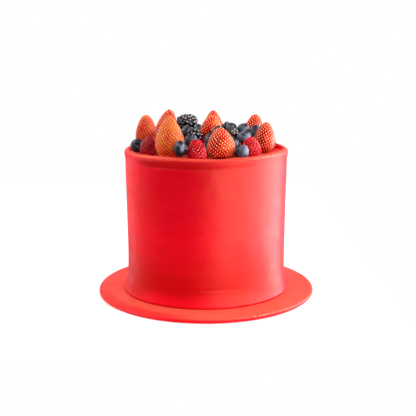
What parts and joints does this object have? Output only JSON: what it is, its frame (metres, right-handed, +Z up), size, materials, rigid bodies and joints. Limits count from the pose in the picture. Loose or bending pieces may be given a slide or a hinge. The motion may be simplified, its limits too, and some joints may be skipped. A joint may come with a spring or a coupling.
{
  "type": "berry cake",
  "caption": "Tall round cake under smooth red icing on a flat icing brim, its shallow sunk top heaped with strawberries, raspberries, blueberries and brambles.",
  "frame": {"origin": "centre of the underside of the icing brim, on the surface the cake stands on", "axes": "+Z up the cake's axis; +X to the picture's right; the picture looks along +Y, so the front is -Y"},
  "size_m": [0.256, 0.256, 0.2136],
  "materials": {
    "icing": "smooth red sugar icing, satin",
    "brim_icing": "the same icing, its rim dusted paler at the right",
    "strawberry": "ripe strawberry skin, orange-red to deep red, semi-gloss with seed pits",
    "strawberry_seed": "pale straw-yellow seeds",
    "raspberry": "crimson drupelets, semi-gloss with a faint bloom",
    "bramble": "near-black glossy drupelets",
    "blueberry": "dark navy skin under a pale grey bloom"
  },
  "bodies": {
    "root": {"brim": "brim_icing", "crown": "icing", "strawberry_01": "strawberry", "strawberry_02": "strawberry", "strawberry_03": "strawberry", "strawberry_04": "strawberry", "strawberry_05": "strawberry", "strawberry_06": "strawberry", "strawberry_07": "strawberry", "raspberry_01": "raspberry", "raspberry_02": "raspberry", "raspberry_03": "raspberry", "raspberry_04": "raspberry", "blueberry_01": "blueberry", "blueberry_02": "blueberry", "blueberry_03": "blueberry", "blueberry_04": "blueberry", "raspberry_05": "raspberry", "blueberry_05": "blueberry", "blueberry_06": "blueberry", "blueberry_07": "blueberry", "raspberry_06": "raspberry", "blueberry_08": "blueberry", "blueberry_09": "blueberry", "raspberry_07": "raspberry", "blueberry_10": "blueberry", "raspberry_08": "raspberry", "raspberry_09": "raspberry", "blueberry_11": "blueberry", "blueberry_12": "blueberry", "blueberry_13": "blueberry", "raspberry_10": "raspberry", "raspberry_11": "raspberry", "bramble_01": "bramble", "blueberry_14": "blueberry", "blueberry_15": "blueberry", "raspberry_12": "raspberry", "strawberry_08": "strawberry", "strawberry_09": "strawberry", "raspberry_13": "raspberry", "bramble_02": "bramble", "blueberry_16": "blueberry", "blueberry_17": "blueberry", "bramble_03": "bramble", "blueberry_18": "blueberry", "strawberry_10": "strawberry", "blueberry_19": "blueberry", "bramble_04": "bramble", "blueberry_20": "blueberry", "blueberry_21": "blueberry", "blueberry_22": "blueberry", "blueberry_23": "blueberry", "bramble_05": "bramble", "bramble_06": "bramble", "blueberry_24": "blueberry", "blueberry_25": "blueberry", "blueberry_26": "blueberry", "blueberry_27": "blueberry", "blueberry_28": "blueberry", "blueberry_29": "blueberry"}
  },
  "joints": []
}
